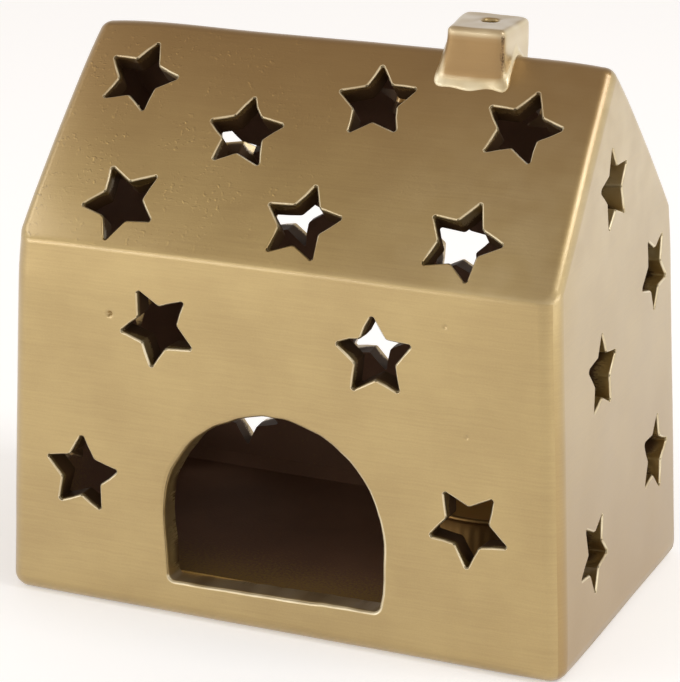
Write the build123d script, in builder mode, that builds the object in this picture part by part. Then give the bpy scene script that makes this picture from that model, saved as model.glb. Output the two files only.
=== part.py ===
from build123d import *
from math import atan2, cos, hypot, pi, radians, sin, tan
import os

# A small house of thin clay slabs with a tealight burning inside. Its front looks along -Y, its
# gables along -X and +X, and it stands on the ground at height zero.

# Outer form of the house, between its flat faces
house_width = 110.0
house_depth = 67.6
eave_height = 70.3
ridge_height = 104.1
front_lean = 0.7
back_lean = 1.1
gable_lean = 2.5

# Slabs and the coil of clay pressed into the joint round the floor
wall_thickness = 4.3
floor_thickness = 5.5
coil_size = 2.0
corner_radius = 3.3
roof_edge_radius = 2.2
foot_edge_radius = 2.7
corner_coil_share = 1.3

# Doorway in the front wall
door_width = 43.3
door_foot_width = 41.5
door_top = 41.6
door_offset = -0.4
sill_left = 7.2
sill_right = 8.1
door_corner_radius = 1.2
door_rim = 0.8

# Star cut-outs, all pressed with one cutter
star_points = 5
star_radius = 7.7
star_notch_share = 0.52
star_tip_radius = 0.35
star_notch_radius = 0.8
star_rim = 0.35
star_margin = 0.6

# Chimney across the ridge, with its flue
chimney_foot_width = 14.4
chimney_foot_depth = 12.6
chimney_foot_x = 25.2
chimney_top_width = 11.6
chimney_top_depth = 12.2
chimney_top_x = 26.2
chimney_y = 0.8
chimney_rise = 4.9
chimney_corner_radius = 1.6
chimney_rim_radius = 1.3
chimney_bead = 1.5
flue_diameter = 3.2
flue_y = 2.0

# Tealight, parked in the rear right corner: foil cup, wax, wick and the disc that holds it
cup_diameter = 38.0
cup_height = 13.6
cup_sheet = 0.35
cup_rim_bead = 0.9
cup_foot_step = 0.8
cup_draft = 0.5
wax_level = 11.6
wax_dish = 0.7
wax_clearance = 0.05
wick_diameter = 1.5
wick_stand = 4.2
wick_tip_radius = 0.4
wick_clearance = 0.02
sustainer_diameter = 12.5
sustainer_sheet = 0.3
sustainer_neck_diameter = 2.6
sustainer_neck_height = 3.2
floor_clearance = 0.1
tealight_gap = 1.2

# How far a cut runs past what it cuts
overrun = 12.0

# Star places on each slab, seen from outside: across, as a share of the room to the right of the
# middle, up, as a share of the room above the lowest place, and the turn in degrees
front_star_shares = [
    (-0.575, 0.888, 47),
    (0.480, 0.892, 22),
    (-0.975, 0.312, 14),
    (0.925, 0.344, 54),
]
back_star_shares = [
    (0.615, 0.984, 32),
    (-0.258, 0.931, 18),
    (0.168, 0.539, 38),
    (0.895, 0.161, 50),
    (-0.800, 0.380, 33),
]
right_star_shares = [
    (-0.107, 0.947, 26),
    (0.912, 0.674, 49),
    (-0.481, 0.538, 16),
    (0.870, 0.212, 3),
    (-0.722, 0.125, 54),
]
left_star_shares = [
    (-0.070, 0.940, 8),
    (0.860, 0.655, 31),
    (-0.440, 0.480, 55),
    (0.800, 0.225, 20),
    (-0.720, 0.110, 42),
]
roof_front_star_shares = [
    (-0.906, 0.965, 6),
    (-0.328, 0.613, 20),
    (0.221, 0.965, 26),
    (0.887, 0.873, 7),
    (-0.788, 0.003, 48),
    (0.058, 0.000, 14),
    (0.774, 0.010, 3),
]
roof_back_star_shares = [
    (0.480, 0.950, 33),
    (-0.240, 0.915, 30),
    (-0.905, 0.870, 51),
    (0.830, 0.006, 28),
    (0.287, 0.010, 63),
    (-0.240, 0.000, 40),
    (-0.862, 0.050, 17),
]

front_eave_y = eave_height * tan(radians(front_lean)) - house_depth / 2
back_eave_y = house_depth / 2 - eave_height * tan(radians(back_lean))


def gable_x(height):
    """Distance of a gable's outer face from the middle of the house at a height."""
    return house_width / 2 - height * tan(radians(gable_lean))


def leaning_face(x, y, lean, heading):
    """Outer face of a wall: its foot's middle, its lean, and the compass heading it looks along."""
    turn = radians(heading)
    outward = (sin(turn) * cos(radians(lean)), -cos(turn) * cos(radians(lean)), sin(radians(lean)))
    return Plane(origin=(x, y, 0), x_dir=(cos(turn), sin(turn), 0), z_dir=outward)


def roof_face(eave_y, across):
    """Outer face of a roof slope, from the middle of its eave, with its own left to right."""
    up_slope = Vector(0, -eave_y, ridge_height - eave_height)
    return Plane(origin=(0, eave_y, eave_height), x_dir=across, z_dir=Vector(across).cross(up_slope))


front_face = leaning_face(0, -house_depth / 2, front_lean, 0)
right_face = leaning_face(house_width / 2, 0, gable_lean, 90)
back_face = leaning_face(0, house_depth / 2, back_lean, 180)
left_face = leaning_face(-house_width / 2, 0, gable_lean, 270)
roof_front_face = roof_face(front_eave_y, (1, 0, 0))
roof_back_face = roof_face(back_eave_y, (-1, 0, 0))


def end_outline(foot):
    """Corners of the house seen from its end, with the foot of the walls at a height."""
    return [
        (foot * tan(radians(front_lean)) - house_depth / 2, foot),
        (house_depth / 2 - foot * tan(radians(back_lean)), foot),
        (back_eave_y, eave_height),
        (0, ridge_height),
        (front_eave_y, eave_height),
    ]


# Outer form of the whole house, as one block with its edges rounded by hand
with BuildPart() as outer_form:
    with BuildSketch(Plane.YZ):
        with BuildLine():
            Polyline(*end_outline(0), close=True)
        make_face()
    extrude(amount=house_width / 2, both=True)
    for gable in (left_face, right_face):
        split(bisect_by=gable, keep=Keep.BOTTOM)
    fillet(outer_form.edges().group_by(Axis.Z)[1], radius=corner_radius)
    upper_edges = outer_form.edges().filter_by_position(
        Axis.Z, eave_height - roof_edge_radius, ridge_height + roof_edge_radius
    )
    fillet(upper_edges, radius=roof_edge_radius)
    fillet(outer_form.edges().group_by(Axis.Z)[0], radius=foot_edge_radius)

# Space between the slabs, running on down through the floor
with BuildPart() as inner_form:
    with BuildSketch(Plane.YZ):
        with BuildLine():
            Polyline(*end_outline(-overrun), close=True)
        make_face()
        offset(amount=-wall_thickness, kind=Kind.INTERSECTION)
    extrude(amount=house_width / 2, both=True)
    for gable in (left_face, right_face):
        split(bisect_by=gable.offset(-wall_thickness), keep=Keep.BOTTOM)
    fillet(inner_form.edges().group_by(Axis.Z)[1], radius=coil_size * corner_coil_share)

# The four walls and the two roof slopes before they are parted at their mitres
with BuildPart() as shell:
    add(outer_form.part)
    add(inner_form.part, mode=Mode.SUBTRACT)

# One star, with a tip on its own X axis
with BuildSketch() as star:
    star_corners = []
    for corner in range(2 * star_points):
        reach = star_radius * (star_notch_share if corner % 2 else 1)
        angle = pi * corner / star_points
        star_corners.append((reach * cos(angle), reach * sin(angle)))
    Polygon(*star_corners, align=None)
    notches, tips = star.vertices().group_by(SortBy.DISTANCE)
    fillet(tips, radius=star_tip_radius)
    notches = star.vertices().group_by(SortBy.DISTANCE)[0]
    fillet(notches, radius=star_notch_radius)

# Room that the stars' middles have on each slab
star_reach = star_radius + star_rim + star_margin
roof_slope = hypot(ridge_height - eave_height, house_depth / 2)
roof_pitch = atan2(ridge_height - eave_height, house_depth / 2)
wall_room = (gable_x(eave_height) - corner_radius - star_reach, star_reach, eave_height - star_reach)
gable_room = (
    house_depth / 2 - corner_radius - star_reach,
    star_reach,
    ridge_height - (star_reach + wall_thickness) / cos(roof_pitch),
)
roof_room = (
    gable_x(ridge_height) - star_reach,
    star_reach,
    roof_slope - wall_thickness * tan(roof_pitch) - star_reach,
)


def mitre(slab, neighbour):
    """Plane where two slabs of one thickness meet, its normal pointing into the first of them."""
    edge = slab.z_dir.cross(neighbour.z_dir)
    across = edge.cross(slab.z_dir)
    to_neighbour = (neighbour.origin - slab.origin).dot(neighbour.z_dir)
    corner = slab.origin + across * (to_neighbour / across.dot(neighbour.z_dir))
    return Plane(origin=corner, z_dir=slab.z_dir - neighbour.z_dir)


def cut_slab(slab, neighbours):
    """Start a part as one slab of the shell, parted at its mitres with the slabs beside it."""
    add(shell.part)
    split(bisect_by=Plane(origin=(0, 0, 0), z_dir=slab.z_dir), keep=Keep.TOP)
    for neighbour in neighbours:
        split(bisect_by=mitre(slab, neighbour), keep=Keep.TOP)


def outer_face(slab):
    """The flat face of the part being built that lies furthest out along its slab's normal."""
    flat_faces = faces().filter_by(slab)
    return flat_faces.sort_by(lambda face: (face.center() - slab.origin).dot(slab.z_dir))[-1]


def press_stars(slab, room, star_shares):
    """Cut stars square through the slab being built and ease their outer edges."""
    half_span, lowest, highest = room
    with BuildSketch(slab) as stars:
        for across_share, up_share, turn in star_shares:
            up = lowest + (highest - lowest) * up_share
            with Locations(Location((half_span * across_share, up, 0), (0, 0, turn))):
                add(star.sketch)
    extrude(stars.sketch, amount=-overrun, mode=Mode.SUBTRACT)
    chamfer(outer_face(slab).inner_wires().edges(), length=star_rim)


# Front wall: four stars round an arched doorway with a raised sill
with BuildPart() as front_wall:
    cut_slab(front_face, [left_face, right_face, roof_front_face])
    press_stars(front_face, wall_room, front_star_shares)
    with BuildSketch(front_face) as doorway:
        spring_height = door_top - door_width / 2
        left_spring = (door_offset - door_width / 2, spring_height)
        right_spring = (door_offset + door_width / 2, spring_height)
        with BuildLine():
            ThreePointArc(left_spring, (door_offset, door_top), right_spring)
            Polyline(
                right_spring,
                (door_offset + door_foot_width / 2, sill_right),
                (door_offset - door_foot_width / 2, sill_left),
                left_spring,
            )
        make_face()
        fillet(doorway.vertices().sort_by(Axis.Y)[:2], radius=door_corner_radius)
    extrude(amount=-overrun, mode=Mode.SUBTRACT)
    door_edge = outer_face(front_face).inner_wires().sort_by(SortBy.LENGTH)[-1]
    fillet(door_edge.edges(), radius=door_rim)

# Back wall
with BuildPart() as back_wall:
    cut_slab(back_face, [left_face, right_face, roof_back_face])
    press_stars(back_face, wall_room, back_star_shares)

# Gables
with BuildPart() as right_gable:
    cut_slab(right_face, [front_face, back_face, roof_front_face, roof_back_face])
    press_stars(right_face, gable_room, right_star_shares)

with BuildPart() as left_gable:
    cut_slab(left_face, [front_face, back_face, roof_front_face, roof_back_face])
    press_stars(left_face, gable_room, left_star_shares)

# Flue down through the chimney and the roof under it
chimney_top = ridge_height + chimney_rise
with BuildSketch(Plane.XY.offset(chimney_top)) as flue:
    with Locations((chimney_top_x, flue_y)):
        Circle(flue_diameter / 2)

# Roof slopes
with BuildPart() as roof_front:
    cut_slab(roof_front_face, [front_face, left_face, right_face, roof_back_face])
    press_stars(roof_front_face, roof_room, roof_front_star_shares)
    extrude(flue.sketch, amount=-chimney_rise - overrun, mode=Mode.SUBTRACT)

with BuildPart() as roof_back:
    cut_slab(roof_back_face, [back_face, left_face, right_face, roof_front_face])
    press_stars(roof_back_face, roof_room, roof_back_star_shares)
    extrude(flue.sketch, amount=-chimney_rise - overrun, mode=Mode.SUBTRACT)

# Floor slab between the feet of the walls, with the coil of clay smoothed into its corner
with BuildPart() as room_above_floor:
    add(inner_form.part)
    split(bisect_by=Plane.XY.offset(floor_thickness), keep=Keep.TOP)
    chamfer(room_above_floor.edges().group_by(Axis.Z)[0], length=coil_size)

with BuildPart() as base_slab:
    add(inner_form.part)
    split(bisect_by=Plane.XY, keep=Keep.TOP)
    split(bisect_by=Plane.XY.offset(floor_thickness + coil_size), keep=Keep.BOTTOM)
    add(room_above_floor.part, mode=Mode.SUBTRACT)

# Chimney, seated astride the ridge in a bead of slip
with BuildPart() as house_and_chimney:
    add(outer_form.part)
    chimney_root = ridge_height - chimney_foot_depth
    with BuildSketch(Plane.XY.offset(chimney_root)):
        with Locations((chimney_foot_x, chimney_y)):
            RectangleRounded(chimney_foot_width, chimney_foot_depth, chimney_corner_radius)
    with BuildSketch(Plane.XY.offset(chimney_top)):
        with Locations((chimney_top_x, chimney_y)):
            RectangleRounded(chimney_top_width, chimney_top_depth, chimney_corner_radius)
    loft()
    fillet(house_and_chimney.edges(Select.NEW), radius=chimney_bead)
    fillet(house_and_chimney.edges().group_by(Axis.Z)[-1], radius=chimney_rim_radius)

with BuildPart() as chimney:
    add(house_and_chimney.part)
    add(outer_form.part, mode=Mode.SUBTRACT)
    extrude(flue.sketch, amount=-chimney_rise - overrun, mode=Mode.SUBTRACT)

# Tealight, set down inside the walls with its parts stacked on one upright axis
parking_inset = wall_thickness + coil_size + tealight_gap + cup_diameter / 2
tealight_x = gable_x(floor_thickness) - parking_inset
tealight_y = house_depth / 2 - floor_thickness * tan(radians(back_lean)) - parking_inset
tealight_foot = floor_thickness + floor_clearance
tealight_axis = Axis((tealight_x, tealight_y, tealight_foot), (0, 0, 1))
tealight_section = Plane(origin=tealight_axis.position, x_dir=(1, 0, 0), z_dir=(0, -1, 0))

cup_rim_radius = (cup_diameter - cup_rim_bead) / 2
cup_base_radius = cup_rim_radius - cup_draft


def cup_radius(height):
    """Outer radius of the foil cup's drafted side at a height above its foot."""
    share = (height - cup_foot_step) / (cup_height - cup_foot_step)
    return cup_base_radius + cup_draft * share


with BuildPart() as tealight_cup:
    with BuildSketch(tealight_section):
        with BuildLine():
            Polyline(
                (0, 0),
                (cup_base_radius - cup_foot_step, 0),
                (cup_base_radius, cup_foot_step),
                (cup_rim_radius, cup_height),
                (0, cup_height),
                close=True,
            )
        make_face()
    revolve(axis=tealight_axis)
    offset(amount=-cup_sheet, openings=tealight_cup.faces().sort_by(Axis.Z)[-1])
    with BuildSketch(tealight_section):
        with Locations((cup_rim_radius, cup_height - cup_rim_bead / 2)):
            Circle(cup_rim_bead / 2)
    revolve(axis=tealight_axis)

# Disc with a short neck that holds the wick upright under the wax
sustainer_foot = cup_sheet + wick_clearance
neck_top = sustainer_foot + sustainer_sheet + sustainer_neck_height
wick_bore_radius = wick_diameter / 2 + wick_clearance
with BuildPart() as wick_sustainer:
    with BuildSketch(tealight_section):
        with BuildLine():
            Polyline(
                (wick_bore_radius, sustainer_foot),
                (sustainer_diameter / 2, sustainer_foot),
                (sustainer_diameter / 2, sustainer_foot + sustainer_sheet),
                (sustainer_neck_diameter / 2, sustainer_foot + sustainer_sheet),
                (sustainer_neck_diameter / 2, neck_top),
                (wick_bore_radius, neck_top),
                close=True,
            )
        make_face()
    revolve(axis=tealight_axis)

# Waxed cotton wick
wick_top = wax_level - wax_dish + wick_stand
with BuildPart() as wick:
    with BuildSketch(Plane(tealight_axis.position).offset(sustainer_foot)):
        Circle(wick_diameter / 2)
    extrude(amount=wick_top - sustainer_foot)
    fillet(wick.edges().group_by(Axis.Z)[-1], radius=wick_tip_radius)

# Wax poured round the sustainer and the wick, dished where it cooled
with BuildPart() as tealight_wax:
    with BuildSketch(tealight_section):
        wax_foot = cup_sheet + wax_clearance
        wax_gap = cup_sheet + wax_clearance
        dish_edge = (cup_radius(wax_level) - wax_gap, wax_level)
        dish_middle = (wick_bore_radius, wax_level - wax_dish)
        with BuildLine():
            Polyline(
                dish_middle,
                (wick_bore_radius, neck_top + wax_clearance),
                (sustainer_neck_diameter / 2 + wax_clearance, neck_top + wax_clearance),
                (
                    sustainer_neck_diameter / 2 + wax_clearance,
                    sustainer_foot + sustainer_sheet + wax_clearance,
                ),
                (
                    sustainer_diameter / 2 + wax_clearance,
                    sustainer_foot + sustainer_sheet + wax_clearance,
                ),
                (sustainer_diameter / 2 + wax_clearance, wax_foot),
                (cup_base_radius - cup_foot_step - wax_gap, wax_foot),
                (cup_base_radius - wax_gap, cup_foot_step + wax_gap),
                dish_edge,
            )
            TangentArc(dish_middle, dish_edge, tangent=(1, 0))
        make_face()
    revolve(axis=tealight_axis)

pieces = {
    "front_wall": front_wall,
    "back_wall": back_wall,
    "left_gable": left_gable,
    "right_gable": right_gable,
    "roof_front": roof_front,
    "roof_back": roof_back,
    "base_slab": base_slab,
    "chimney": chimney,
    "tealight_cup": tealight_cup,
    "tealight_wax": tealight_wax,
    "wick": wick,
    "wick_sustainer": wick_sustainer,
}

os.makedirs("parts", exist_ok=True)
for name, piece in pieces.items():
    piece.part.label = name
    export_step(piece.part, f"parts/{name}.step")
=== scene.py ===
from math import cos, pi, radians, sin

import bpy
import numpy as np
from mathutils import Matrix, Vector


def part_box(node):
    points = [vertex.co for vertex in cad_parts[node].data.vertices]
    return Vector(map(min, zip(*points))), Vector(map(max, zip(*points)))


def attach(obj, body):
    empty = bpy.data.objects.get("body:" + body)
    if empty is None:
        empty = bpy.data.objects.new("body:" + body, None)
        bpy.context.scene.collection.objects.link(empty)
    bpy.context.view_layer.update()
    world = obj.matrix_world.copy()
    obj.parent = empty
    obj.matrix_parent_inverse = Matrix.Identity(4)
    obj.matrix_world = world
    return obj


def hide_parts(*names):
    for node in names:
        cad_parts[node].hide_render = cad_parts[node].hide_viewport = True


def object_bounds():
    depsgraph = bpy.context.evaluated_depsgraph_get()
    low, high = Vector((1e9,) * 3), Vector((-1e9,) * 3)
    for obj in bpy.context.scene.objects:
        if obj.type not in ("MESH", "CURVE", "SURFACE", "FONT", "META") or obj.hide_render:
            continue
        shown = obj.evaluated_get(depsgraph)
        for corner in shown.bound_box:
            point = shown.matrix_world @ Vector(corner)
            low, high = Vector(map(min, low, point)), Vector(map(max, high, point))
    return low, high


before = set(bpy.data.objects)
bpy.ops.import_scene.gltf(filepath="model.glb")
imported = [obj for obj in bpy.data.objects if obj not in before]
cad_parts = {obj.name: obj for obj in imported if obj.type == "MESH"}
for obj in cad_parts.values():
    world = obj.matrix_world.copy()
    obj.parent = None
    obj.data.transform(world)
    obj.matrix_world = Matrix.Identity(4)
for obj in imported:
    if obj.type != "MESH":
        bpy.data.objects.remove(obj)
cad_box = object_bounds()

bl_info = {
    "name": "Tealight house",
    "version": (1, 0, 0),
    "blender": (4, 5, 0),
    "location": "View3D > Sidebar > Tealight house",
    "description": "Hand-built clay house brushed with gold paint, with a tealight inside",
    "category": "Add Mesh",
}

# A millimetre in Blender's metres
MM = 0.001

SLABS = ("front_wall", "back_wall", "left_gable", "right_gable", "roof_front", "roof_back")


def linear(colour):
    """An sRGB hex colour as the linear red, green and blue that a shader works with."""
    srgb = np.array([int(colour[i : i + 2], 16) for i in (1, 3, 5)]) / 255
    low, high = srgb / 12.92, ((srgb + 0.055) / 1.055) ** 2.4
    return tuple(float(value) for value in np.where(srgb <= 0.04045, low, high))


def rgba(colour):
    """The same colour with full cover, as a colour socket takes it."""
    return (*colour[:3], 1.0)


def unit(vectors):
    """Vectors scaled to length one. A vector without length stays as it is."""
    return vectors / np.maximum(np.linalg.norm(vectors, axis=-1, keepdims=True), 1e-30)


def smooth_step(values, start, end):
    """Rises from 0 at start to 1 at end, level at both."""
    share = np.clip((values - start) / (end - start), 0, 1)
    return share * share * (3 - 2 * share)


# Surfaces as numpy arrays of triangles


def node_triangles(name):
    """Corners and corner normals of a CAD node's triangles, each of shape (triangles, 3, 3)."""
    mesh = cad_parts[name].data
    mesh.calc_loop_triangles()
    count = len(mesh.loop_triangles)
    points = np.empty(len(mesh.vertices) * 3, np.float32)
    mesh.vertices.foreach_get("co", points)
    vertex = np.empty(count * 3, np.int32)
    mesh.loop_triangles.foreach_get("vertices", vertex)
    loop = np.empty(count * 3, np.int32)
    mesh.loop_triangles.foreach_get("loops", loop)
    normals = np.empty(len(mesh.loops) * 3, np.float32)
    mesh.corner_normals.foreach_get("vector", normals)
    corners = points.reshape(-1, 3)[vertex].reshape(count, 3, 3).astype(float)
    return corners, normals.reshape(-1, 3)[loop].reshape(count, 3, 3).astype(float)


def refine(corners, normals, longest, passes=9):
    """Split each edge that is longer than longest(its middle) at its middle, again and again.

    The choice depends on the edge alone, so two triangles that share an edge split it alike and
    no crack opens. With one, two or three long edges a triangle becomes two, three or four.
    """
    for _ in range(passes):
        middles = (corners + np.roll(corners, -1, axis=1)) / 2
        lengths = np.linalg.norm(np.roll(corners, -1, axis=1) - corners, axis=2)
        long = lengths > longest(middles)
        count = long.sum(axis=1)
        if not count.any():
            break
        # Turn each triangle so that its long edges come first
        first = np.where(count == 1, long.argmax(axis=1), 0)
        first = np.where(count == 2, (long.argmin(axis=1) + 1) % 3, first)
        order = (first[:, None] + np.arange(3)) % 3
        rows = np.arange(len(corners))[:, None]
        corners, middles = corners[rows, order], middles[rows, order]
        normals = normals[rows, order]
        between = unit(normals + np.roll(normals, -1, axis=1))
        a, b, c = (np.stack((corners[:, k], normals[:, k]), axis=1) for k in range(3))
        ab, bc, ca = (np.stack((middles[:, k], between[:, k]), axis=1) for k in range(3))
        pieces = []
        for edges, children in (
            (0, ((a, b, c),)),
            (1, ((a, ab, c), (ab, b, c))),
            (2, ((ab, b, bc), (a, ab, c), (ab, bc, c))),
            (3, ((a, ab, ca), (ab, b, bc), (ca, bc, c), (ab, bc, ca))),
        ):
            chosen = count == edges
            for child in children:
                pieces.append(np.stack([corner[chosen] for corner in child], axis=1))
        halves = np.concatenate(pieces)
        corners, normals = halves[:, :, 0], halves[:, :, 1]
    return corners, normals


def weld(points, tolerance=1e-7):
    """One vertex for all points that fall together, and each point's vertex."""
    keys = np.round((points - points.min(axis=0)) / tolerance).astype(np.int64)
    _, first, index = np.unique(keys @ (2**42, 2**21, 1), return_index=True, return_inverse=True)
    return points[first], index.reshape(-1)


def grid_triangles(grid, close_rows=False):
    """Triangles of a grid of points, two for each cell. Each row is a closed ring, and
    close_rows joins the last ring to the first."""
    rows = np.concatenate((grid, grid[:1])) if close_rows else grid
    full = np.concatenate((rows, rows[:, :1]), axis=1)
    a, b, c, d = full[:-1, :-1], full[:-1, 1:], full[1:, 1:], full[1:, :-1]
    halves = np.stack((np.stack((a, b, c), axis=2), np.stack((a, c, d), axis=2)))
    return halves.reshape(-1, 3, 3)


def make_piece(name, corners, materials, body, stands_for, normals=None, slots=None,
               vectors=None, crease=None):
    """Put triangles into a mesh with their welded corners, finish and attributes, and seat it."""
    points, index = weld(corners.reshape(-1, 3))
    index = index.reshape(-1, 3)
    whole = (index != np.roll(index, -1, axis=1)).all(axis=1)
    index = index[whole]
    mesh = bpy.data.meshes.new(name)
    mesh.from_pydata(points, [], index.tolist())
    mesh.update()
    mesh.shade_smooth()
    if slots is not None:
        mesh.polygons.foreach_set("material_index", slots[whole].astype(np.int32))
    for label, values in (vectors or {}).items():
        layer = mesh.attributes.new(label, "FLOAT_VECTOR", "CORNER")
        layer.data.foreach_set("vector", values[whole].astype(np.float32).ravel())
    if normals is not None:
        mesh.normals_split_custom_set(normals[whole].reshape(-1, 3).tolist())
    elif crease is not None:
        mesh.set_sharp_from_angle(angle=crease)
    for material in materials:
        mesh.materials.append(material)
    piece = bpy.data.objects.new(name, mesh)
    bpy.context.scene.collection.objects.link(piece)
    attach(piece, body)
    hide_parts(stands_for)
    return piece


# How hands leave a surface


def wave_bundle(seed, count, longest, shortest, height):
    """Sine waves with random headings, phases and pushes, shorter waves pushing less."""
    rng = np.random.default_rng(seed)
    heading = unit(rng.normal(size=(count, 3)))
    push = unit(rng.normal(size=(count, 3)))
    length = np.geomspace(longest, shortest, count)
    phase = rng.uniform(0, 2 * pi, count)
    push *= (height * length / longest / count**0.5)[:, None]
    return heading * (2 * pi / length)[:, None], push, phase


def bundle_shift(points, bundle):
    """A point moves by the sum of push times the sine of heading times point plus phase."""
    heading, push, phase = bundle
    return np.sin(points @ heading.T + phase) @ push


# Waves left by hands: seed, count, longest and shortest. The outlines' seed is the slab's name.
BODY_WAVES = (11, 22, 50 * MM, 8 * MM)
CHIMNEY_WAVES = (5, 16, 12 * MM, 3 * MM)
OUTLINE_WAVES = (20, 14 * MM, 3 * MM)

# How much the walls' edges wear, against the roof's
WALL_WEAR = 0.45

# Edges that sagged a little while the clay was wet: the two slabs that meet there and how far
SAGS = (("roof_front", "front_wall", 0.9 * MM), ("roof_front", "left_gable", 0.3 * MM))

# How far below a face the clay moves with it, how far wear and sags reach from their edge,
# and how high above the ground the foot still holds the clay down
SKIN = 7 * MM
WEAR_REACH = 6 * MM
SAG_REACH = 7 * MM
FOOT_REACH = 9 * MM


def shape_shift(points, faces, settings):
    """How far a point of the clay is off its place in a house with true planes.

    Long sine waves push it about. Near each outer face it also moves along that face's normal:
    out by the fullness, and in by the wear times the exponential fall of its distance to the
    other faces, so that slabs are fullest in their middles. Sagged edges drop by an exponential
    fall of the distance to both their faces. The foot stays on the ground.
    """
    shift = bundle_shift(points, wave_bundle(*BODY_WAVES, settings.hand_wave))
    gaps = [reach - points @ normal for normal, reach in faces.values()]
    for face, (normal, _) in enumerate(faces.values()):
        wear = settings.edge_wear * (1.0 if normal[2] > 0.5 else WALL_WEAR)
        near = 1 - smooth_step(gaps[face], 0, SKIN)
        others = gaps[:face] + gaps[face + 1 :]
        edges = sum(np.exp(-np.clip(gap, 0, None) / WEAR_REACH) for gap in others)
        out = near * (settings.fullness - wear * edges)
        shift = shift + out[..., None] * normal
    for first, second, sag in SAGS:
        meeting = (faces[first], faces[second])
        gap = sum(np.clip(reach - points @ normal, 0, None) for normal, reach in meeting)
        shift[..., 2] -= sag * np.exp(-gap / SAG_REACH)
    shift[..., 2] *= smooth_step(points[..., 2], 0, FOOT_REACH)
    return shift


def carry(corners, normals, shift, step=0.02 * MM):
    """Moves corners by a shift of space and turns their normals with it.

    The shifts of three small steps along X, Y and Z give the map's slope at a point, and a
    normal is turned by that slope's cofactors. Each place is worked out once.
    """
    points, index = weld(corners.reshape(-1, 3))
    moved = points + shift(points)
    x, y, z = (side + (shift(points + step * side) - shift(points)) / step for side in np.eye(3))
    old = normals.reshape(-1, 3)
    sides = (np.cross(y, z), np.cross(z, x), np.cross(x, y))
    turned = sum(old[:, k, None] * side[index] for k, side in enumerate(sides))
    moved = np.clip(moved, *cad_box)
    return moved[index].reshape(corners.shape), unit(turned).reshape(corners.shape)


def facings(corners):
    """The direction that each triangle faces, from the order of its corners."""
    return unit(np.cross(corners[:, 1] - corners[:, 0], corners[:, 2] - corners[:, 0]))


def slab_face(corners):
    """Outward normal of a slab's outer face, and how far the face is from the origin.

    It is the direction that most of the slab's area looks along, on the side away from the
    middle of the house.
    """
    cross = np.cross(corners[:, 1] - corners[:, 0], corners[:, 2] - corners[:, 0])
    area = np.linalg.norm(cross, axis=1)
    cross, area = cross[area > 0], area[area > 0]
    facing, index = np.unique(np.round(cross / area[:, None], 3), axis=0, return_inverse=True)
    total = np.bincount(index.reshape(-1), area)
    middle = (np.array(cad_box[0]) + np.array(cad_box[1])) / 2
    outward = facing @ (corners.reshape(-1, 3).mean(axis=0) - middle) > 0
    normal = unit(facing[np.argmax(total * outward)])
    return normal, (corners @ normal).max()


def house_faces():
    """Every slab's outer face, by the slab's name."""
    return {name: slab_face(node_triangles(name)[0]) for name in SLABS}


def slab_axes(normal):
    """Across and up directions on a slab's outer face, as seen from outside."""
    across = unit(np.cross((0.0, 0.0, 1.0), normal))
    return across, np.cross(normal, across)


def far_from_edges(points, others, margin):
    """Whether points are further than a margin from the ground and from the other outer faces."""
    gaps = [reach - points @ normal for normal, reach in others]
    return np.minimum(points[..., 2], np.min(gaps, axis=0)) > margin


# Small hurts in the front wall: across and up from the front's lower middle, radius and depth
PINHOLE = (-32.7, 57.4, 0.42, 0.6)
NICKS = ((36.7, 43.7, 0.3, 0.16), (32.1, 63.6, 0.35, 0.14))


def pit_shift(points, normal, reach, pits):
    """Dents pressed in along a face's normal: depth times a bell curve of the distance."""
    shift = np.zeros_like(points)
    across, up = slab_axes(normal)
    below = (reach - points @ normal) / MM
    for x, height, radius, depth in pits:
        middle = across * x * MM + normal * reach
        middle = middle + up * (height * MM - middle[2]) / up[2]
        away = (points - middle) / MM
        away -= (away @ normal)[..., None] * normal
        bell = np.exp(-((away**2).sum(axis=-1) / radius**2) - np.clip(below, 0, None) ** 2)
        shift -= (depth * MM * bell)[..., None] * normal
    return shift


# The doorway keeps to this far left and right of the middle and this high
DOORWAY = (24 * MM, 46 * MM)

# Share of a reveal's depth that counts as depth to the brush, which reached further into the
# gables' stars and the doorway, and ran down onto its sill
STAR_DEPTH, GABLE_STAR_DEPTH, JAMB_DEPTH, SILL_DEPTH = 0.9, 0.4, 0.25, 0.12

# How pale the ridge of paint on a rim is, with painted highlight added on rims that look up or to
# the left, and on the doorway's rim only there, and where it fades below the face
STAR_RIDGE_AND_HIGHLIGHT, STAR_HIGHLIGHT, DOORWAY_HIGHLIGHT = 0.6, 0.4, 0.85
RIDGE_FADE = (0.3 * MM, 0.6 * MM)

# How much darker or paler the gold is made, and the heights in millimetres between which that
# changes:
# on the roof and the gables darker is painted shade and paler is painted highlight, on the sill
# and the jamb the paint lies thin or pale
ROOF_SHADE, ROOF_SHADE_HEIGHTS = 0.7, (72, 104)
ROOF_HIGHLIGHT = 0.14
GABLE_SHADE, GABLE_SHADE_HEIGHTS = 0.45, (5, 60)
GABLE_HIGHLIGHT, GABLE_HIGHLIGHT_HEIGHTS = 0.24, (55, 90)
SILL_THIN, SILL_PALE, JAMB_PALE = 0.9, 0.36, 0.15
WALL_GRIT, ROOF_GRIT = 0.15, 0.3


def rounded_rims(corners, normals, normal, reach):
    """Normals that shade the narrow bevel round each star as a rounded rim."""
    below = reach - corners @ normal
    bevel = (np.abs(facings(corners) @ normal - 0.707) < 0.08) & (below.max(axis=1) < 0.5 * MM)
    inward = unit(normals - (normals @ normal)[..., None] * normal)
    rounded = np.where((below < 0.05 * MM)[..., None], normal, inward)
    return np.where(bevel[:, None, None], rounded, normals)


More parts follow.
